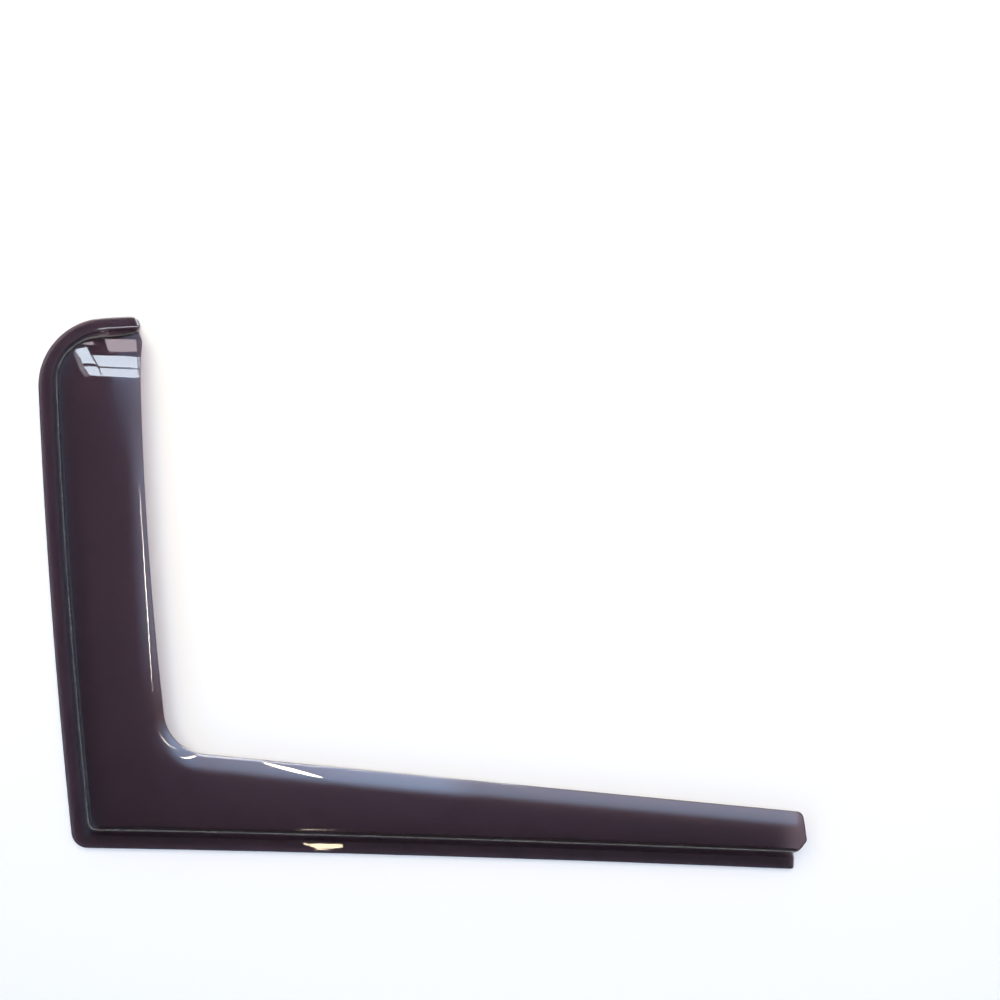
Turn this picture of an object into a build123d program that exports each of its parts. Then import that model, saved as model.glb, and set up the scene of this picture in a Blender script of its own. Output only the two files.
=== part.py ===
from build123d import *
import os
from math import asin, cos, radians, sin, sqrt, tan

# A window rain deflector for the door of a truck cab: one sheet of smoked acrylic, heated and drawn
# over a mould. It lies on its taped flange with the convex side up. +X runs along the long arm and +Y
# up the leg. The plan is drawn from the sharp outer corner of the taped face, and the finished sheet is
# moved so that its origin is where the tape's centre lines meet at that corner. Sizes in millimetres.

# The sheet and its bends, each radius measured on the outer face
sheet = 3.0
crest_bend = 7.0
hip_bend = 12.0
root_bend = 2.5

# Sharp corners of the plan, before they are rounded
arm_length = 719.0
arm_tip_width = 63.7
leg_height = 532.0
leg_lean = 52.5
leg_top_width = 102.7
leg_top_slope = 9.0
hook_drop = 12.5
hook_run = 9.6
hook_length = 16.5
inner_corner_x = 99.4
inner_corner_y = 105.3

# How far each edge is bowed into the sheet at its middle, or out of it where the value is negative
arm_outer_bow = 2.3
arm_free_bow = 0.3
leg_free_bow = 5.0
leg_outer_bow = -4.6

# Corner radii of the plan
outer_corner_radius = 16.0
shoulder_radius = 66.0
top_corner_radius = 9.0
hook_radius = 6.0
hook_end_radius = 18.0
inner_corner_radius = 41.0
tip_corner_radius = 7.0
tip_small_radius = 2.5

# The cut at the tip of the arm: the wall is trimmed back and the body overhangs the flange
foot_height = 11.0
notch_depth = 6.5
notch_height = 23.0
overhang = 5.0
overhang_height = 36.5
overhang_slant = 4.0

# The flange, from the outer edge to the foot of the wall
leg_flange = 13.5
arm_flange = 11.8
tip_flange = 9.8
top_flange = 11.5

# The adhesive tape runs on the flange with its centre line this far inside the edge
tape_line = 6.0

# The drafted wall
wall_draft = 31.0

# The crowned body, as a section across it: a roll down to the free edge, then a long shallow arc
peak_height = 31.0
peak_inside = 55.0
crown_radius = 800.0
roll_width = 27.0
roll_radius = 80.0

# The body bends down along its length at the top of the leg and at the tip of the arm
dome_radius = 110.0
dome_length = 68.0
tip_bend_radius = 40.0
tip_bend_length = 14.0

# The mould form runs past the trimmed edges by this much
form_margin = 60.0
form_top = 45.0
form_depth = 30.0
form_inside = 175.0
form_outside = 33.0
bend_angle = 65.0

# How nearly a face has to lean like a drafted wall, and an edge lie at a height, to be picked for a bend
same_lean = 0.02
same_height = 0.01

corner = Vector(0, 0)
tip_low = Vector(arm_length, 0)
tip_foot = Vector(arm_length, foot_height)
notch = Vector(arm_length - notch_depth, notch_height)
tip_bulge = Vector(arm_length + overhang, overhang_height)
tip_high = Vector(arm_length + overhang - overhang_slant, arm_tip_width)
inner_corner = Vector(inner_corner_x, inner_corner_y)
top_right = Vector(leg_top_width - leg_lean, leg_height)
hook_high = top_right - Vector(0, hook_drop)
hook_low = hook_high + Vector(hook_run, -hook_length)
shoulder = Vector(-leg_lean, leg_height - leg_top_slope)


def inward(start, end):
    """Unit normal to the left of a line of the plan, which is the side that the sheet is on."""
    run = end - start
    return Vector(-run.Y, run.X).normalized()


def bowed_edge(start, end, bow):
    """One long edge of the plan, as a shallow arc."""
    return ThreePointArc(start, (start + end) / 2 + inward(start, end) * bow, end)


def rounded(face, radii):
    """The face with each named corner rounded to its radius."""
    for point, radius in radii:
        vertex = face.vertices().sort_by_distance(point)[0]
        face = fillet(vertex, radius)
    return face


def trimmed_plan():
    """The outline that the formed sheet is trimmed to."""
    edges = [
        bowed_edge(corner, tip_low, arm_outer_bow),
        Line(tip_low, tip_foot),
        Line(tip_foot, notch),
        Line(notch, tip_bulge),
        Line(tip_bulge, tip_high),
        bowed_edge(tip_high, inner_corner, arm_free_bow),
        bowed_edge(inner_corner, hook_low, leg_free_bow),
        Line(hook_low, hook_high),
        Line(hook_high, top_right),
        Line(top_right, shoulder),
        bowed_edge(shoulder, corner, leg_outer_bow),
    ]
    radii = [
        (corner, outer_corner_radius),
        (tip_low, tip_small_radius),
        (notch, tip_small_radius),
        (tip_bulge, tip_small_radius),
        (tip_high, tip_corner_radius),
        (inner_corner, inner_corner_radius),
        (hook_low, hook_end_radius),
        (hook_high, hook_radius),
        (top_right, top_corner_radius),
        (shoulder, shoulder_radius),
    ]
    return rounded(make_face(edges), radii)


def inset_point(point, normal_a, gap_a, normal_b, gap_b):
    """Where two edges through a point meet once each is moved inward by its gap."""
    turn = normal_a.X * normal_b.Y - normal_a.Y * normal_b.X
    x = (gap_a * normal_b.Y - gap_b * normal_a.Y) / turn
    y = (normal_a.X * gap_b - normal_b.X * gap_a) / turn
    return point + Vector(x, y)


def wall_plan(inset):
    """The foot of the wall at the taped face, moved inward by an inset, and run past the free edges."""
    arm_side = inward(corner, tip_low)
    leg_side = inward(shoulder, corner)
    top_side = inward(top_right, shoulder)
    foot = inset_point(corner, arm_side, arm_flange + inset, leg_side, leg_flange + inset)
    bend = inset_point(shoulder, leg_side, leg_flange + inset, top_side, top_flange + inset)
    arm_run = tip_low + arm_side * (tip_flange + inset) - foot
    top_run = top_right - shoulder
    far_low = foot + arm_run * ((arm_length + form_margin) / arm_length)
    far_high = bend + top_run * ((far_low.X - bend.X) / top_run.X)
    edges = [
        bowed_edge(foot, far_low, arm_outer_bow),
        Line(far_low, far_high),
        Line(far_high, bend),
        bowed_edge(bend, foot, leg_outer_bow),
    ]
    return rounded(make_face(edges), [(bend, shoulder_radius - leg_flange - inset)])


def crown_section(origin, inside, inset, floor):
    """The body's section in an upright plane, from a floor up to the outer face less an inset."""
    plane = Plane(origin, x_dir=inside, z_dir=inside.cross(Vector(0, 0, 1)))
    crown_centre = Vector(peak_inside, peak_height - crown_radius)
    lean = asin((peak_inside - roll_width) / crown_radius)
    up = Vector(-sin(lean), cos(lean))
    roll_centre = crown_centre + up * (crown_radius - roll_radius)

    def on_arc(centre, radius, distance):
        reach = distance - centre.X
        return Vector(distance, centre.Y + sqrt((radius - inset) ** 2 - reach ** 2))

    join = crown_centre + up * (crown_radius - inset)
    first = on_arc(roll_centre, roll_radius, -form_outside)
    last = on_arc(crown_centre, crown_radius, form_inside)
    edges = [
        ThreePointArc(first, on_arc(roll_centre, roll_radius, (join.X - form_outside) / 2), join),
        ThreePointArc(join, on_arc(crown_centre, crown_radius, (join.X + form_inside) / 2), last),
        Line(last, Vector(form_inside, floor)),
        Line(Vector(form_inside, floor), Vector(-form_outside, floor)),
        Line(Vector(-form_outside, floor), first),
    ]
    return plane * make_face(edges)


def bend_down(origin, inside, along, inset, radius):
    """The section swung down about a level axis, past the end of a straight run."""
    pivot_height = peak_height - radius
    section = crown_section(origin, inside, inset, max(pivot_height + sheet, -form_depth))
    pivot = Axis(origin + Vector(0, 0, pivot_height), along.cross(Vector(0, 0, -1)))
    return revolve(section, axis=pivot, revolution_arc=bend_angle)


def crown(inset):
    """A solid under the crowned body: along the arm, round the inner corner and up the leg."""
    arm_way = (tip_high - inner_corner).normalized()
    leg_way = (hook_low - inner_corner).normalized()
    opening = arm_way.get_angle(leg_way)
    tangent_length = inner_corner_radius / tan(radians(opening / 2))
    arm_start = inner_corner + arm_way * tangent_length
    leg_start = inner_corner + leg_way * tangent_length
    arm_inside = Vector(arm_way.Y, -arm_way.X)
    leg_inside = Vector(-leg_way.Y, leg_way.X)
    arm_run = (tip_bulge - arm_start).dot(arm_way) - tip_bend_length
    leg_run = (top_right - leg_start).dot(leg_way) - dome_length
    arm_end = arm_start + arm_way * arm_run
    leg_end = leg_start + leg_way * leg_run
    bend_axis = Axis(arm_start - arm_inside * inner_corner_radius, (0, 0, 1))
    arm_section = crown_section(arm_start, arm_inside, inset, -form_depth)
    leg_section = crown_section(leg_start, leg_inside, inset, -form_depth)
    arm = extrude(arm_section, amount=arm_run, dir=arm_way)
    leg = extrude(leg_section, amount=leg_run, dir=leg_way)
    bend = revolve(leg_section, bend_axis, 180 - opening)
    tip = bend_down(arm_end, arm_inside, arm_way, inset, tip_bend_radius)
    dome = bend_down(leg_end, leg_inside, leg_way, inset, dome_radius)
    return arm + bend + leg + tip + dome


def is_wall(face):
    """Whether a face is one of the drafted walls, seen from outside or from inside the form."""
    lean = abs(abs(face.normal_at(None).Z) - sin(radians(wall_draft)))
    return lean < same_lean and face.center().X < arm_length - form_margin


def rises(edge):
    """Whether an edge climbs the whole height of the walls."""
    return edge.bounding_box().size.Z > form_top / 2


def wall_edges(solid, keep):
    """The edges of the drafted walls that pass a test, each once."""
    found = []
    for wall in solid.faces().filter_by(is_wall):
        for edge in wall.edges():
            if keep(edge.bounding_box()) and not any(edge.is_same(other) for other in found):
                found.append(edge)
    return found


def foot_edges(solid, height):
    """The feet of the walls at a height, with the short one round the outer corner."""
    feet = wall_edges(solid, lambda box: abs(box.max.Z - height) < same_height)
    corner_foot = solid.edges().sort_by_distance(Vector(leg_flange, arm_flange, height))[0]
    return feet + [corner_foot]


def mould_form(inset):
    """The mould as a solid: drafted walls under the crowned body, with the crest rounded over."""
    foot_inset = inset / cos(radians(wall_draft)) - sheet * tan(radians(wall_draft))
    walls = extrude(wall_plan(foot_inset), amount=form_top, taper=wall_draft)
    hip = walls.edges().filter_by(rises).sort_by_distance(Vector(leg_flange, arm_flange))[0]
    form = fillet(hip, hip_bend - inset) & crown(inset)
    crest = wall_edges(form, lambda box: box.min.Z > sheet)
    return fillet(crest, crest_bend - inset)


def deflector_shell():
    """The finished sheet: the mould form with its flange, trimmed to the plan and hollowed from below."""
    size = arm_length + leg_height
    slab = Box(2 * size, 2 * size, sheet, align=(Align.CENTER, Align.CENTER, Align.MIN))
    outer = (slab + mould_form(0)) & extrude(trimmed_plan(), amount=form_top)
    outer = fillet(foot_edges(outer, sheet), root_bend)
    skin = outer - mould_form(sheet)
    skin = fillet(foot_edges(skin, 0), root_bend + sheet)
    arm_side = inward(corner, tip_low)
    leg_side = inward(shoulder, corner)
    tape_corner = inset_point(corner, arm_side, tape_line, leg_side, tape_line)
    return Pos(-tape_corner.X, -tape_corner.Y) * skin


if __name__ == "__main__":
    os.makedirs("parts", exist_ok=True)
    export_step(deflector_shell(), "parts/deflector_shell.step")
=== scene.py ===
import math

import bpy
import mathutils
import numpy as np
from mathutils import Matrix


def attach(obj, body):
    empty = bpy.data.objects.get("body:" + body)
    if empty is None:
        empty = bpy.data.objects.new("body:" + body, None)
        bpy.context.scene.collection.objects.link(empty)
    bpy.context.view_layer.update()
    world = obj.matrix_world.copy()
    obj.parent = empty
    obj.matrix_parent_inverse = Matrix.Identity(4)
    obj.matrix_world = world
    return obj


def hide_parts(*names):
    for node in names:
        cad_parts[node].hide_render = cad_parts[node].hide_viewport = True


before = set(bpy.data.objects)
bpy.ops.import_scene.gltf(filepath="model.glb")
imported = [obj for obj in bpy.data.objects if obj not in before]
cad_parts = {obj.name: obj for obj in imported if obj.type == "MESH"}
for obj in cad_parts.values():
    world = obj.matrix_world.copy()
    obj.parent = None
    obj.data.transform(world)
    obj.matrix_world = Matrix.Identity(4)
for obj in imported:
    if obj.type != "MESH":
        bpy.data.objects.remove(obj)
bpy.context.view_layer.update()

# The camera. It hangs straight over the middle of the table, about a metre up, and is turned by a
# degree or two. Its places are in metres, the width of its film and its lens in millimetres.
camera_height = 1.020
camera_over = (0.4102, 0.3531)
camera_turn = math.radians(1.69)
film_width, focal_length = 36.0, 36.72
camera = bpy.data.objects.new("camera", bpy.data.cameras.new("camera"))
camera.data.sensor_width = film_width
camera.data.lens = focal_length
camera.location = (*camera_over, camera_height)
camera.rotation_euler = (0.0, 0.0, camera_turn)
bpy.context.scene.collection.objects.link(camera)
bpy.context.scene.camera = camera
bpy.context.scene.view_settings.view_transform = "Standard"

# The deflector. One sheet of cast smoked acrylic, heated soft, drawn down over a wooden mould with
# drafted walls and a crowned back, and cut to its outline with a router once it has cooled. The flat
# flange left outside the wall carries the tape.
mm = 0.001

# Sizes are in millimetres, and the plan is drawn from the sharp outer corner. The finished sheet moves
# to where the tape's centre lines meet.
sheet_thickness = 3.0
tape_corner = np.array((5.4, 6.0))

flange_of_arm = 11.8
flange_at_tip = 9.8
flange_of_leg = 13.5
flange_at_top = 11.5

wall_draft = math.radians(31.0)
crest_bend = 7.0
hip_bend = 12.0
root_bend = 2.5

peak_height = 31.0
peak_inside = 55.0
crown_radius = 800.0
roll_width = 27.0
roll_radius = 80.0
dome_radius = 110.0
dome_length = 68.0
tip_bend_radius = 40.0
tip_bend_length = 14.0

arm_length = 719.0
form_margin = 60.0
outer_corner = np.array((0.0, 0.0))
tip_low = np.array((arm_length, 0.0))
tip_foot = np.array((arm_length, 11.0))
tip_notch = np.array((712.5, 23.0))
tip_bulge = np.array((724.0, 36.5))
tip_high = np.array((720.0, 63.7))
inner_corner = np.array((99.4, 105.3))
hook_low = np.array((59.6, 505.0))
hook_high = np.array((50.8, 520.6))
top_right = np.array((50.2, 532.0))
shoulder = np.array((-52.5, 523.0))

outer_corner_radius = 16.0
shoulder_radius = 66.0
top_corner_radius = 9.0
hook_radius = 6.0
hook_end_radius = 18.0
inner_corner_radius = 41.0
tip_corner_radius = 7.0
tip_small_radius = 2.5
tip_foot_radius = 1.0

# How far the middle of each long edge is bowed into the sheet, or out of it where it is negative
arm_outer_bow = 2.3
arm_free_bow = 0.3
leg_free_bow = 5.0
leg_outer_bow = -4.6

# Each corner of the outline with its radius, and the bow of the edge that leaves it
outline_corners = [
    (outer_corner, outer_corner_radius, arm_outer_bow),
    (tip_low, tip_small_radius, 0.0),
    (tip_foot, tip_foot_radius, 0.0),
    (tip_notch, tip_small_radius, 0.0),
    (tip_bulge, tip_small_radius, 0.0),
    (tip_high, tip_corner_radius, arm_free_bow),
    (inner_corner, inner_corner_radius, leg_free_bow),
    (hook_low, hook_end_radius, 0.0),
    (hook_high, hook_radius, 0.0),
    (top_right, top_corner_radius, 0.0),
    (shoulder, shoulder_radius, leg_outer_bow),
]


def unit(way):
    """A way over the plan, made one millimetre long."""
    return way / np.hypot(*way)


def left_of(way):
    """Unit normal to the left of a way over the plan, which is the side that the sheet is on."""
    return unit(np.array((-way[1], way[0])))


def edge_at(start, end, bow, share):
    """Points on a bowed edge, and its direction there."""
    share = np.atleast_1d(share)[:, None]
    run = end - start
    side = left_of(run) * bow * 4
    return start + run * share + side * share * (1 - share), run + side * (1 - 2 * share)


# The fewest steps that go round half a corner, and the fewest points along an edge
fewest_round_corner, fewest_along_edge = 8, 3


def cut_outline(spacing):
    """The closed line that the router follows, and where on it the middle of each corner is."""
    count = len(outline_corners)
    reach = []
    for i, (point, radius, _) in enumerate(outline_corners):
        into = unit(point - outline_corners[i - 1][0])
        out = unit(outline_corners[(i + 1) % count][0] - point)
        turn = math.acos(np.clip(into @ out, -1, 1))
        reach.append(radius * math.tan(turn / 2))
    line, middles = [], []
    for i, (point, radius, bow) in enumerate(outline_corners):
        before, after = outline_corners[i - 1], outline_corners[(i + 1) % count][0]
        in_length = np.hypot(*(point - before[0]))
        out_length = np.hypot(*(after - point))
        (arc_start,), (way_in,) = edge_at(before[0], point, before[2], 1 - reach[i] / in_length)
        (arc_end,), (way_out,) = edge_at(point, after, bow, reach[i] / out_length)
        way_in, way_out = unit(way_in), unit(way_out)
        turn = math.acos(np.clip(way_in @ way_out, -1, 1))
        handle = 4 / 3 * math.tan(turn / 4) * reach[i] / math.tan(turn / 2)
        steps = max(fewest_round_corner, int(radius * turn / spacing)) * 2
        t = np.linspace(0, 1, steps + 1)[:, None]
        arc = (arc_start * (1 - t) ** 3 + 3 * (arc_start + way_in * handle) * t * (1 - t) ** 2
               + 3 * (arc_end - way_out * handle) * t * t * (1 - t) + arc_end * t ** 3)
        middles.append(sum(len(run) for run in line) + steps // 2)
        line.append(arc)
        last = 1 - reach[(i + 1) % count] / out_length
        edge_count = max(fewest_along_edge, int(out_length / spacing))
        shares = np.linspace(reach[i] / out_length, last, edge_count)
        line.append(edge_at(point, after, bow, shares[1:-1])[0])
    return np.vstack(line), middles


def lengths_along(line):
    """How far each point of a line is from its start, measured along it."""
    return np.r_[0, np.cumsum(np.hypot(*np.diff(line, axis=0).T))]


def points_along(line, where):
    """The points of a line at given lengths along it."""
    run = lengths_along(line)
    return np.c_[np.interp(where, run, line[:, 0]), np.interp(where, run, line[:, 1])]


# The middles of four corners part the outline into the outer edge, the cut at the tip, the free edge
# and the cut at the hook
outline_spacing = 1.0
outline, middle_of = cut_outline(outline_spacing)
at_tip_low, at_tip_high, at_hook_low, at_top_right = (middle_of[i] for i in (1, 5, 7, 9))
outer_edge = np.vstack((outline[at_top_right:], outline[:at_tip_low + 1]))[::-1]
tip_cut = outline[at_tip_low:at_tip_high + 1]
free_edge = outline[at_tip_high:at_hook_low + 1]
hook_cut = outline[at_hook_low:at_top_right + 1][::-1]

tiny = 1e-9


def rolled_edge(a, b, cosine, radius):
    """Depth below two faces that meet at an edge rounded to a radius, from the depths below each."""
    over_a, over_b = radius - a, radius - b
    toward_a = over_a - over_b * cosine
    toward_b = over_b - over_a * cosine
    sine = np.sqrt(np.maximum(1 - cosine ** 2, tiny))
    apart = over_a ** 2 + over_b ** 2 - 2 * over_a * over_b * cosine
    round_part = radius - np.sqrt(np.maximum(apart, 0)) / sine
    one_face = np.where(toward_b <= 0, a, b)
    one_face = np.where((toward_a <= 0) & (toward_b <= 0), np.minimum(a, b), one_face)
    return np.where((toward_a > 0) & (toward_b > 0), round_part, one_face)


# The foot of the wall, where it leaves the flange
arm_side = left_of(tip_low - outer_corner)
leg_side = left_of(outer_corner - shoulder)
top_side = left_of(shoulder - top_right)


def meeting_point(point, side_a, gap_a, side_b, gap_b):
    """Where two edges through a point meet once each is moved inward by its gap."""
    return point + np.linalg.solve(np.array((side_a, side_b)), (gap_a, gap_b))


foot_corner = meeting_point(outer_corner, arm_side, flange_of_arm, leg_side, flange_of_leg)
foot_bend = meeting_point(shoulder, leg_side, flange_of_leg, top_side, flange_at_top)
foot_tip = tip_low + arm_side * flange_at_tip
foot_far = foot_corner + (foot_tip - foot_corner) * ((arm_length + form_margin) / arm_length)


def inside_of(points, start, end, bow):
    """How far points of the plan lie inside a bowed line."""
    run = end - start
    share = ((points - start) @ run) / (run @ run)
    return (points - start) @ left_of(run) - bow * 4 * share * (1 - share)


def wall_depths(points):
    """How far points of the plan lie inside the foot of the arm's wall, and of the leg's and top's."""
    arm = inside_of(points, foot_corner, foot_far, arm_outer_bow)
    leg = inside_of(points, foot_bend, foot_corner, leg_outer_bow)
    top = inside_of(points, foot_bend + (top_right - shoulder), foot_bend, 0.0)
    return arm, rolled_edge(leg, top, leg_side @ top_side, shoulder_radius - flange_of_leg)


# The crowned back, measured from the free edge
arm_way = unit(tip_high - inner_corner)
leg_way = unit(hook_low - inner_corner)
opening = math.acos(arm_way @ leg_way)
bend_reach = inner_corner_radius / math.tan(opening / 2)
arm_start = inner_corner + arm_way * bend_reach
leg_start = inner_corner + leg_way * bend_reach
arm_inside = np.array((arm_way[1], -arm_way[0]))
leg_inside = np.array((-leg_way[1], leg_way[0]))
bend_centre = arm_start - arm_inside * inner_corner_radius
arm_run = (tip_bulge - arm_start) @ arm_way - tip_bend_length
leg_run = (top_right - leg_start) @ leg_way - dome_length


def back_section(inside):
    """Height of the back at a distance inside the free edge: a roll, then a long shallow crown."""
    lean = math.asin((peak_inside - roll_width) / crown_radius)
    roll_x = peak_inside - math.sin(lean) * (crown_radius - roll_radius)
    roll_z = peak_height - crown_radius + math.cos(lean) * (crown_radius - roll_radius)
    crown = peak_height - crown_radius + np.sqrt(crown_radius ** 2 - (inside - peak_inside) ** 2)
    roll = roll_z + np.sqrt(np.maximum(roll_radius ** 2 - (inside - roll_x) ** 2, 0))
    return np.where(inside < roll_width, roll, crown)


# Past the end of a bend, the square of its height is kept from falling below this
least_square = 1.0


def bent_down(height, past, radius):
    """The back past the end of a straight run, swung down about a level axis."""
    pivot = peak_height - radius
    square = (height - pivot) ** 2 - np.maximum(past, 0) ** 2
    return pivot + np.sqrt(np.maximum(square, least_square))


def back_height(points):
    """Height of the back over the plan: along the arm, round the inner corner and up the leg."""
    arm_along = (points - arm_start) @ arm_way
    leg_along = (points - leg_start) @ leg_way
    round_bend = np.hypot(*(points - bend_centre).T) - inner_corner_radius
    inside = np.where(arm_along > 0, (points - arm_start) @ arm_inside, round_bend)
    inside = np.where(leg_along > 0, (points - leg_start) @ leg_inside, inside)
    height = back_section(inside)
    tip = bent_down(height, arm_along - arm_run, tip_bend_radius)
    height = np.where(arm_along > arm_run, tip, height)
    dome = bent_down(height, leg_along - leg_run, dome_radius)
    return np.where(leg_along > leg_run, dome, height)


slope_step = 0.05


def slope_of(field, points):
    """How steeply a value rises across the plan and up it."""
    across = np.array((slope_step, 0.0))
    up = np.array((0.0, slope_step))
    rise_across = field(points + across) - field(points - across)
    rise_up = field(points + up) - field(points - up)
    return np.c_[rise_across, rise_up] / (2 * slope_step)


# The height is closed in on from both sides, each step halving what is left between them
lowest_height, highest_height = -20.0, peak_height + 2
halvings = 36


def skin_height(points):
    """Height of the outer face over the plan: flange, root bend, wall, crest bend and back."""
    arm, leg = wall_depths(points)
    arm_out = slope_of(lambda p: wall_depths(p)[0], points)
    leg_out = slope_of(lambda p: wall_depths(p)[1], points)
    back = back_height(points)
    back_slope = slope_of(back_height, points)
    back_up = 1 / np.sqrt(1 + (back_slope ** 2).sum(1))
    run, rise = math.sin(wall_draft), math.cos(wall_draft)
    walls_cosine = rise ** 2 * (arm_out * leg_out).sum(1) + run ** 2
    nearest = np.where((arm < leg)[:, None], arm_out, leg_out)
    crest_cosine = (rise * (nearest * back_slope).sum(1) + run) * back_up
    low, high = np.full(len(points), lowest_height), np.full(len(points), highest_height)
    for _ in range(halvings):
        z = (low + high) / 2
        arm_wall = (sheet_thickness + arm * rise / run - z) * run
        leg_wall = (sheet_thickness + leg * rise / run - z) * run
        walls = rolled_edge(arm_wall, leg_wall, walls_cosine, hip_bend)
        form = rolled_edge(walls, (back - z) * back_up, crest_cosine, crest_bend)
        solid = -rolled_edge(-form, z - sheet_thickness, run, root_bend)
        low, high = np.where(solid > 0, z, low), np.where(solid > 0, high, z)
    return (low + high) / 2


# Lines across the sheet, from the outer edge to the free edge: pairs of points that one line joins
line_pairs = [
    ((560, 0), (560, 80)),
    ((170, 0), (185, 100)),
    ((95, 0), (132, 102)),
    ((4, 4), (108, 114)),
    ((-11, 95), (93, 142)),
    ((-19, 170), (88, 185)),
    ((-43, 400), (70, 411)),
    ((-49, 450), (66, 446)),
    ((-34, 506), (62, 466)),
    ((10, 530), (60, 480)),
]
line_spacing = 2.9


def place_on(line, point):
    """How far along a line its nearest point to a given one is."""
    return lengths_along(line)[np.argmin(np.hypot(*(line - np.array(point)).T))]


outer_length, free_length = lengths_along(outer_edge)[-1], lengths_along(free_edge)[-1]
outer_places = [0.0] + [place_on(outer_edge, pair[0]) for pair in line_pairs] + [outer_length]
free_places = [0.0] + [place_on(free_edge, pair[1]) for pair in line_pairs] + [free_length]
near_tip = np.array((0.0, 1.6, 2.5, 3.6, 5.0, 6.8, 8.9))
near_hook = np.array((0.0, 3.2, 4.7, 6.3, 8.2, 10.4))
outer_at, free_at = [], []
for i in range(len(outer_places) - 1):
    outer_run = outer_places[i + 1] - outer_places[i]
    free_run = free_places[i + 1] - free_places[i]
    steps = max(1, round(max(outer_run, free_run) / line_spacing))
    share = np.linspace(0, 1, steps + 1)[:-1]
    if i == 0:
        share = np.r_[near_tip / outer_run, np.linspace(near_tip[-1] / outer_run, 1, steps)[1:-1]]
    if i == len(outer_places) - 2:
        hook_shares = 1 - near_hook[::-1] / outer_run
        share = np.r_[np.linspace(0, hook_shares[0], steps)[:-1], hook_shares]
    outer_at.append(outer_places[i] + outer_run * share)
    free_at.append(free_places[i] + free_run * share)
outer_points = points_along(outer_edge, np.concatenate(outer_at))
free_points = points_along(free_edge, np.concatenate(free_at))

# The lines run straight across the sheet, apart from those close to the tip and to the hook, which
# take on the swing of the cut there
end_reach = 28.0
fine_count = 400
fine = np.linspace(0, 1, fine_count)
from_tip = np.concatenate(outer_at)
from_hook = outer_length - from_tip


def swing_of(cut):
    """How far a cut swings off the straight line between its two ends."""
    way = points_along(cut, fine * lengths_along(cut)[-1])
    return way - (way[0] + (way[-1] - way[0]) * fine[:, None])


tip_swing, hook_swing = swing_of(tip_cut), swing_of(hook_cut)

# Places along each line: over the flange, through the root bend, up the wall, round the crest, across
# the back, and closer together again towards the free edge
flange_shares = np.array((0.0, 0.085, 0.17, 0.3, 0.48, 0.68, 0.86))
root_places = (-2.1, -1.7, -1.3, -0.9, -0.5, -0.1, 0.3, 0.7, 1.0)
wall_shares = np.array((0.25, 0.5, 0.75))
crest_from, crest_to, crest_count = 64.0, -6.0, 17
crest_angles = np.radians(np.linspace(crest_from, crest_to, crest_count))
crest_offsets = crest_bend * (math.tan(math.pi / 4 - wall_draft / 2) - np.sin(crest_angles))
back_count = 22
back_shares = np.linspace(0, 1, back_count)[1:]
edge_gaps = np.array((9.2, 7.3, 5.6, 4.2, 3.0, 2.0, 1.2, 0.0))
edge_room = 11.5
least_climb = 1e-6
plan = []
for start, end, tip_gap, hook_gap in zip(outer_points, free_points, from_tip, from_hook):
    way = start + (end - start) * fine[:, None]
    way = way + tip_swing * max(0.0, 1 - tip_gap / end_reach)
    way = way + hook_swing * max(0.0, 1 - hook_gap / end_reach)
    depth = np.maximum.accumulate(np.minimum(*wall_depths(way)) + fine * least_climb)
    wall_top = np.argmax(sheet_thickness + depth / math.tan(wall_draft) > back_height(way))
    crest_room = min(1.0, (depth[-1] - depth[wall_top]) / (2 * crest_bend))
    crest = depth[wall_top] + crest_offsets * crest_room
    wall = root_places[-1] + (crest[0] - root_places[-1]) * wall_shares
    flange = depth[0] + (root_places[0] - depth[0]) * flange_shares
    run = lengths_along(way)
    at = np.interp(np.concatenate((flange, root_places, wall, crest)), depth, run)
    left = run[-1] - at[-1]
    gaps = edge_gaps * min(1.0, left / edge_room)
    back = at[-1] + (left - gaps[0]) * back_shares
    plan.append(points_along(way, np.concatenate((at, back, run[-1] - gaps[1:]))))
plan = np.array(plan)
line_count, row_count = plan.shape[:2]

# The rim is the edge that the router leaves, square to the sheet, with its arris scraped round. The
# grid stops short of it, and rings of points carry it from the outer face round to the inner one.
rim_round = 0.45
around = ([(k, 0) for k in range(line_count)]
          + [(line_count - 1, j) for j in range(1, row_count)]
          + [(k, row_count - 1) for k in range(line_count - 2, -1, -1)]
          + [(0, j) for j in range(row_count - 2, 0, -1)])
rim_k, rim_j = np.array(around).T
rim_line = plan[rim_k, rim_j]
rim_way = np.roll(rim_line, -1, axis=0) - np.roll(rim_line, 1, axis=0)
rim_way /= np.maximum(np.hypot(*rim_way.T), tiny)[:, None]
rim_out = np.c_[-rim_way[:, 1], rim_way[:, 0]]
next_line = np.roll(rim_line, -1, axis=0)
turns_left = (rim_line[:, 0] * next_line[:, 1] - next_line[:, 0] * rim_line[:, 1]).sum() > 0
if turns_left:
    rim_out = -rim_out
plan[rim_k, rim_j] -= rim_out * rim_round


def units(ways):
    """Ways in space, each made one millimetre long."""
    return ways / np.sqrt((ways ** 2).sum(1))[:, None]


flat_plan = plan.reshape(-1, 2)
heights = skin_height(flat_plan)
slopes = slope_of(skin_height, flat_plan)
normals = units(np.c_[-slopes, np.ones(len(slopes))])
outer_face = np.c_[flat_plan, heights]
inner_face = outer_face - normals * sheet_thickness

rim_index = rim_k * row_count + rim_j
rim_normal = normals[rim_index]
rim_side = np.c_[rim_out, np.zeros(len(rim_out))]
rim_side = units(rim_side - rim_normal * (rim_side * rim_normal).sum(1)[:, None])

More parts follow.
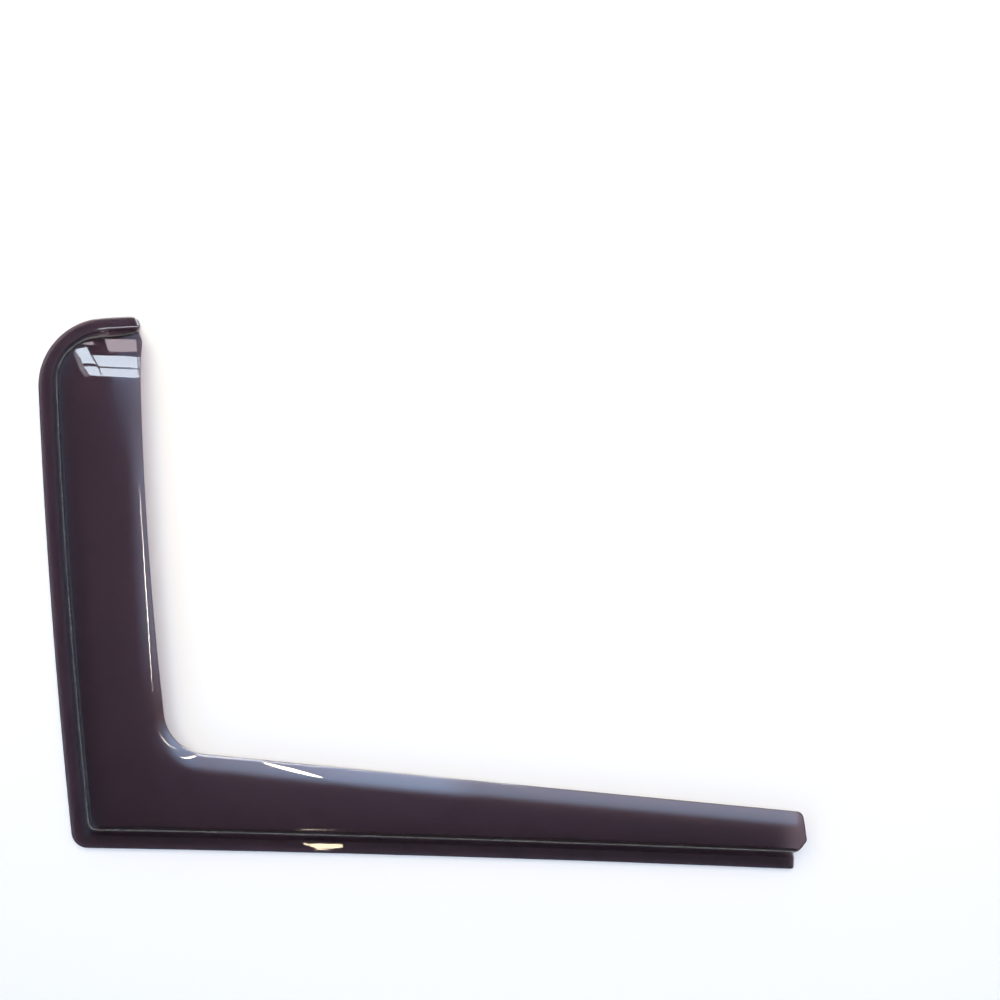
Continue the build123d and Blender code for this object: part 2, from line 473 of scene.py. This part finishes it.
# Steps round the rim, each as how far out from the grid and how far down into the sheet it lies
arris = rim_round * (1 - math.sqrt(0.5))
rim_profile = [
    (rim_round - arris, arris),
    (rim_round, rim_round),
    (rim_round, sheet_thickness / 2),
    (rim_round, sheet_thickness - rim_round),
    (rim_round - arris, sheet_thickness - arris),
]
rim_rings = []
for out, down in rim_profile:
    rim_rings.append(outer_face[rim_index] + rim_side * out - rim_normal * down)

vertices = np.vstack([outer_face, inner_face] + rim_rings)
points_on_face = line_count * row_count
grid = np.arange(points_on_face).reshape(line_count, row_count)
quads = np.stack((grid[:-1, :-1], grid[1:, :-1], grid[1:, 1:], grid[:-1, 1:]), -1).reshape(-1, 4)
ring = np.arange(len(rim_index))
rings = [rim_index]
for i in range(len(rim_profile)):
    rings.append(2 * points_on_face + i * len(rim_index) + ring)
rings.append(rim_index + points_on_face)
rim_quads = []
for upper, lower in zip(rings[:-1], rings[1:]):
    rim_quads.append(np.stack((upper, lower, np.roll(lower, -1), np.roll(upper, -1)), -1))
rim_quads = np.vstack(rim_quads)
all_quads = np.vstack((quads[:, ::-1], quads + points_on_face, rim_quads[:, ::-1]))

vertices[:, :2] -= tape_corner
mesh = bpy.data.meshes.new("acrylic_sheet")
mesh.from_pydata((vertices * mm).tolist(), [], all_quads.tolist())
mesh.polygons.foreach_set("use_smooth", [True] * len(mesh.polygons))
mesh.update()
sheet = bpy.data.objects.new("acrylic_sheet", mesh)
bpy.context.scene.collection.objects.link(sheet)
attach(sheet, "root")
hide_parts("deflector_shell")

# Smoked acrylic: clear resin dyed a brownish violet grey right through, so its colour comes from the
# depth of plastic that the light crosses. The skin is glossy, with the faint ripple of a heated sheet.
acrylic = bpy.data.materials.new("smoked_acrylic")
acrylic.use_nodes = True
nodes, links = acrylic.node_tree.nodes, acrylic.node_tree.links
shader = nodes["Principled BSDF"]
shader.inputs["Base Color"].default_value = (1.0, 1.0, 1.0, 1.0)
shader.inputs["IOR"].default_value = 1.49
shader.inputs["Transmission Weight"].default_value = 1.0
absorb = nodes.new("ShaderNodeVolumeAbsorption")
absorb.inputs["Color"].default_value = (0.322, 0.162, 0.221, 1.0)
absorb.inputs["Density"].default_value = 730.0
links.new(absorb.outputs["Volume"], nodes["Material Output"].inputs["Volume"])

place = nodes.new("ShaderNodeTexCoord")


def grain(scale, detail):
    """Soft patches all over the sheet, so many to the metre."""
    patches = nodes.new("ShaderNodeTexNoise")
    patches.inputs["Scale"].default_value = scale
    patches.inputs["Detail"].default_value = detail
    links.new(place.outputs["Object"], patches.inputs["Vector"])
    return patches.outputs["Fac"]


def bumped(patches, strength, distance):
    """A skin that stands up where the patches are bright."""
    bump = nodes.new("ShaderNodeBump")
    bump.inputs["Strength"].default_value = strength
    bump.inputs["Distance"].default_value = distance
    links.new(patches, bump.inputs["Height"])
    return bump


haze = nodes.new("ShaderNodeMapRange")
for name, number in (("From Min", 0.3), ("From Max", 0.75), ("To Min", 0.0), ("To Max", 0.014)):
    haze.inputs[name].default_value = number
links.new(grain(scale=60.0, detail=6.0), haze.inputs["Value"])
links.new(haze.outputs["Result"], shader.inputs["Roughness"])
ripple = bumped(grain(scale=22.0, detail=2.0), strength=0.06, distance=0.0008)
peel = bumped(grain(scale=420.0, detail=3.0), strength=0.03, distance=0.00012)
links.new(ripple.outputs["Normal"], peel.inputs["Normal"])
links.new(peel.outputs["Normal"], shader.inputs["Normal"])
sheet.data.materials.append(acrylic)

# The floor. A wide sheet of matt white board that runs past the view on every side. It lies a little
# below the flange, so that light gets in under the edges.
floor_half = 12.0
floor_gap = 0.0025
floor_mesh = bpy.data.meshes.new("floor")
floor_corners = [(floor_half * x, floor_half * y, 0) for x, y in ((-1, -1), (1, -1), (1, 1), (-1, 1))]
floor_mesh.from_pydata(floor_corners, [], [(0, 1, 2, 3)])
floor = bpy.data.objects.new("floor", floor_mesh)
floor.location.z = -floor_gap
bpy.context.scene.collection.objects.link(floor)
board = bpy.data.materials.new("white_board")
board.use_nodes = True
paper = board.node_tree.nodes["Principled BSDF"]
paper.inputs["Base Color"].default_value = (0.96, 0.96, 0.96, 1.0)
paper.inputs["Roughness"].default_value = 0.9
paper.inputs["Specular IOR Level"].default_value = 0.1
floor_mesh.materials.append(board)

# The room round the table. Its walls are a dim grey that darkens upward, and cool daylight comes in
# high up from behind the arm and, weaker, from beyond the leg.
world = bpy.data.worlds.new("room")
bpy.context.scene.world = world
world.use_nodes = True
room = world.node_tree


def worked_out(tree, kind, a, b):
    """A node that works on two values, each a number or a socket."""
    node = tree.nodes.new("ShaderNodeMath")
    node.operation = kind
    for socket, value in zip(node.inputs, (a, b)):
        if isinstance(value, (int, float)):
            socket.default_value = value
        else:
            tree.links.new(value, socket)
    return node.outputs["Value"]


def ramp(tree, value, low, high, bottom, top):
    """A soft step of brightness, from bottom to top, while a value goes from low to high."""
    node = tree.nodes.new("ShaderNodeMapRange")
    node.interpolation_type = "SMOOTHSTEP"
    for name, number in (("From Min", low), ("From Max", high), ("To Min", bottom), ("To Max", top)):
        node.inputs[name].default_value = number
    tree.links.new(value, node.inputs["Value"])
    return node.outputs["Result"]


def faded(tree, brightness, *fades):
    """A brightness, faded by each of some ramps."""
    for fade in fades:
        brightness = worked_out(tree, "MULTIPLY", brightness, fade)
    return brightness


def axes_of(tree, coordinates):
    """The X, Y and Z of a place on an object, or of a direction into the room."""
    split = tree.nodes.new("ShaderNodeSeparateXYZ")
    source = tree.nodes.new("ShaderNodeTexCoord")
    tree.links.new(source.outputs[coordinates], split.inputs["Vector"])
    return split.outputs


direction = axes_of(room, "Generated")
lowest_rise = 0.05
upward = worked_out(room, "MAXIMUM", direction["Z"], lowest_rise)
toward_back = worked_out(room, "DIVIDE", direction["Y"], upward)
toward_right = worked_out(room, "DIVIDE", direction["X"], upward)
toward_left = worked_out(room, "MULTIPLY", direction["X"], -1.0)

brightest_behind, brightest_beyond = 4.6, 1.1
behind_arm = faded(
    room, ramp(room, toward_back, 0.03, 0.25, 0.0, brightest_behind),
    ramp(room, toward_back, 0.5, 0.8, 1.0, 0.3),
    ramp(room, toward_right, -0.36, -0.22, 0.0, 1.0),
    ramp(room, toward_right, 0.4, 0.7, 1.0, 0.15))
beyond_leg = faded(
    room, ramp(room, toward_left, 0.41, 0.50, 0.0, brightest_beyond),
    ramp(room, direction["Z"], 0.3, 0.65, 0.1, 1.0))
cool_daylight = room.nodes["Background"]
cool_daylight.inputs["Color"].default_value = (0.42, 0.66, 1.0, 1.0)
room.links.new(worked_out(room, "MAXIMUM", behind_arm, beyond_leg), cool_daylight.inputs["Strength"])

walls_low, walls_high = 0.28, 0.14
grey_walls = room.nodes.new("ShaderNodeBackground")
grey_walls.inputs["Color"].default_value = (1.0, 0.93, 0.97, 1.0)
walls_brightness = ramp(room, direction["Z"], 0.1, 0.75, walls_low, walls_high)
room.links.new(walls_brightness, grey_walls.inputs["Strength"])


def both_of(tree, first, second):
    """Two shaders added together."""
    both = tree.nodes.new("ShaderNodeAddShader")
    tree.links.new(first, both.inputs[0])
    tree.links.new(second, both.inputs[1])
    return both.outputs["Shader"]


room_light = both_of(room, cool_daylight.outputs["Background"], grey_walls.outputs["Background"])
room.links.new(room_light, room.nodes["World Output"].inputs["Surface"])

# The main lamp. A wide soft box, hung behind the part and tipped toward it, lights the table evenly.
# It is kept out of the gloss, where it would hide what the real sheet reflects.
soft_box = bpy.data.lights.new("soft_box", "AREA")
soft_box.shape = "RECTANGLE"
soft_box.size, soft_box.size_y = 3.0, 1.6
soft_box.energy = 51.0
soft_box.color = (1.0, 0.76, 0.42)
box_holder = bpy.data.objects.new("soft_box", soft_box)
box_holder.location = (0.45, 1.35, 1.95)
box_holder.rotation_euler = (math.radians(-31.0), 0.0, 0.0)
box_holder.visible_camera = False
box_holder.visible_glossy = False
box_holder.visible_transmission = False
bpy.context.scene.collection.objects.link(box_holder)

# The skylight over the far end of the leg. Panes of pale glass with dark bars between them, and lit
# panels beyond, all seen only in the sheet's gloss. Each is given by its corners on the ceiling, in
# metres from the part's origin.
ceiling = 1.4


def lit_panel(name, corners, height, brightness, colour):
    """A flat panel overhead that shines evenly, given back as its nodes and the one that glows."""
    mesh = bpy.data.meshes.new(name)
    mesh.from_pydata([(x, y, height) for x, y in corners], [], [range(len(corners))])
    panel = bpy.data.objects.new(name, mesh)
    panel.visible_camera = False
    panel.visible_diffuse = False
    panel.visible_shadow = False
    bpy.context.scene.collection.objects.link(panel)
    shine = bpy.data.materials.new(name)
    shine.use_nodes = True
    tree = shine.node_tree
    tree.nodes.remove(tree.nodes["Principled BSDF"])
    glow = tree.nodes.new("ShaderNodeEmission")
    glow.inputs["Color"].default_value = (*colour, 1.0)
    glow.inputs["Strength"].default_value = brightness
    tree.links.new(glow.outputs["Emission"], tree.nodes["Material Output"].inputs["Surface"])
    mesh.materials.append(shine)
    return tree, glow


pane_glow, daylight = 19.0, (0.76, 0.88, 1.0)
panel_glow, warm_white = 8.0, (1.0, 0.9, 0.98)
beam_glow, cool_white = 4.0, (0.93, 0.93, 1.0)
beam_height = ceiling + 0.01
panes = {
    "far_left": [
        (-0.99, 1.85), (-0.98, 1.94), (-0.95, 2.00), (-0.75, 1.53),
        (-0.60, 1.18), (-0.70, 1.21), (-0.81, 1.48)],
    "near_left": [(-0.67, 1.12), (-0.57, 1.08), (-0.47, 0.77), (-0.56, 0.83)],
    "far_middle": [
        (-0.73, 1.52), (-0.64, 1.48), (-0.57, 1.45), (-0.23, 1.43), (0.08, 1.44), (0.45, 1.49),
        (0.47, 1.07), (0.12, 1.04), (-0.16, 1.03), (-0.47, 1.04), (-0.53, 1.07), (-0.56, 1.10)],
    "near_middle": [
        (-0.54, 1.03), (-0.50, 1.01), (-0.42, 0.99), (-0.12, 0.98), (0.16, 0.99), (0.48, 1.03),
        (0.48, 0.79), (0.18, 0.76), (-0.10, 0.75), (-0.39, 0.75), (-0.47, 0.78)],
    "right": [(0.50, 1.50), (0.57, 1.52), (0.58, 0.81), (0.52, 0.80)],
}
for name, corners in panes.items():
    lit_panel(f"pane_{name}", corners, ceiling, pane_glow, daylight)
lit_panel(
    "panel_right", [
        (-0.99, 2.50), (-0.92, 2.47), (-0.50, 2.41), (-0.09, 2.43), (0.31, 2.54),
        (0.42, 1.74), (0.05, 1.63), (-0.27, 1.60), (-0.62, 1.62), (-0.64, 1.62)],
    ceiling, panel_glow, warm_white)
lit_panel(
    "panel_left", [(-1.11, 2.27), (-1.08, 2.43), (-0.91, 2.09), (-1.04, 2.18)],
    ceiling, panel_glow, warm_white)
lit_panel(
    "beam", [
        (-0.96, 1.75), (-0.96, 1.81), (-0.71, 1.23), (-0.56, 0.80), (-0.59, 0.80), (-0.75, 1.24)],
    beam_height, beam_glow, cool_white)

# The gold lamp. A small one on the same ceiling, in front of the outer corner. The flange mirrors it
# as one short glint.
gold_glow, gold = 30.0, (1.0, 0.86, 0.6)
lit_panel(
    "gold_spot", [
        (-0.056, -0.462), (-0.006, -0.448), (0.056, -0.450), (0.064, -0.480), (0.004, -0.487)],
    ceiling, gold_glow, gold)

# The blind. Sheer and cool, hung level above the free edge of the leg. It grows brighter toward its
# right-hand side, fades out along its edges and lets the skylight show through.
blind_height = 0.6
blind_corners = [(-0.06, -0.01), (0.42, -0.01), (0.42, 0.57), (-0.06, 0.57)]
cool_blue = (0.4, 0.65, 1.0)
brightest_blind = 3.6
blind, blind_glow = lit_panel("blind", blind_corners, blind_height, brightest_blind, cool_blue)
on_blind = axes_of(blind, "Object")
blind_brightness = faded(
    blind, ramp(blind, on_blind["X"], -0.05, 0.30, 0.0, brightest_blind),
    ramp(blind, on_blind["X"], 0.34, 0.42, 1.0, 0.0),
    ramp(blind, on_blind["Y"], 0.04, 0.19, 0.0, 1.0),
    ramp(blind, on_blind["Y"], 0.38, 0.52, 1.0, 0.0))
blind.links.new(blind_brightness, blind_glow.inputs["Strength"])
sheer = blind.nodes.new("ShaderNodeBsdfTransparent")
blind_weave = both_of(blind, blind_glow.outputs["Emission"], sheer.outputs["BSDF"])
blind.links.new(blind_weave, blind.nodes["Material Output"].inputs["Surface"])


# Two slender warm lamps, each with a narrow beam: one is seen in the near end of the arm as a slanted
# streak, the other along the leg as a fine bright line.
def strip_lamp(name, middle, target, width, length, beam, turn, power):
    """A slender lamp aimed at a place and turned about its own beam, both angles in degrees."""
    strip = bpy.data.lights.new(name, "AREA")
    strip.shape = "ELLIPSE"
    strip.size, strip.size_y = width, length
    strip.spread = math.radians(beam)
    strip.energy = power
    strip.color = warm_lamp
    holder = bpy.data.objects.new(name, strip)
    holder.location = middle
    aim = (mathutils.Vector(target) - mathutils.Vector(middle)).to_track_quat("-Z", "Y")
    turned = mathutils.Quaternion((0.0, 0.0, 1.0), math.radians(turn))
    holder.rotation_euler = (aim @ turned).to_euler()
    holder.visible_camera = False
    holder.visible_diffuse = False
    bpy.context.scene.collection.objects.link(holder)


warm_lamp = (1.0, 0.88, 0.7)
strip_lamp(
    "arm_strip", middle=(0.000, 0.530, ceiling), target=(0.190, 0.085, 0.02),
    width=0.040, length=0.36, beam=22.0, turn=-4.0, power=0.05)
strip_lamp(
    "leg_strip", middle=(0.140, 0.240, 0.44), target=(0.085, 0.255, 0.02),
    width=0.008, length=0.28, beam=34.0, turn=-72.0, power=0.009)
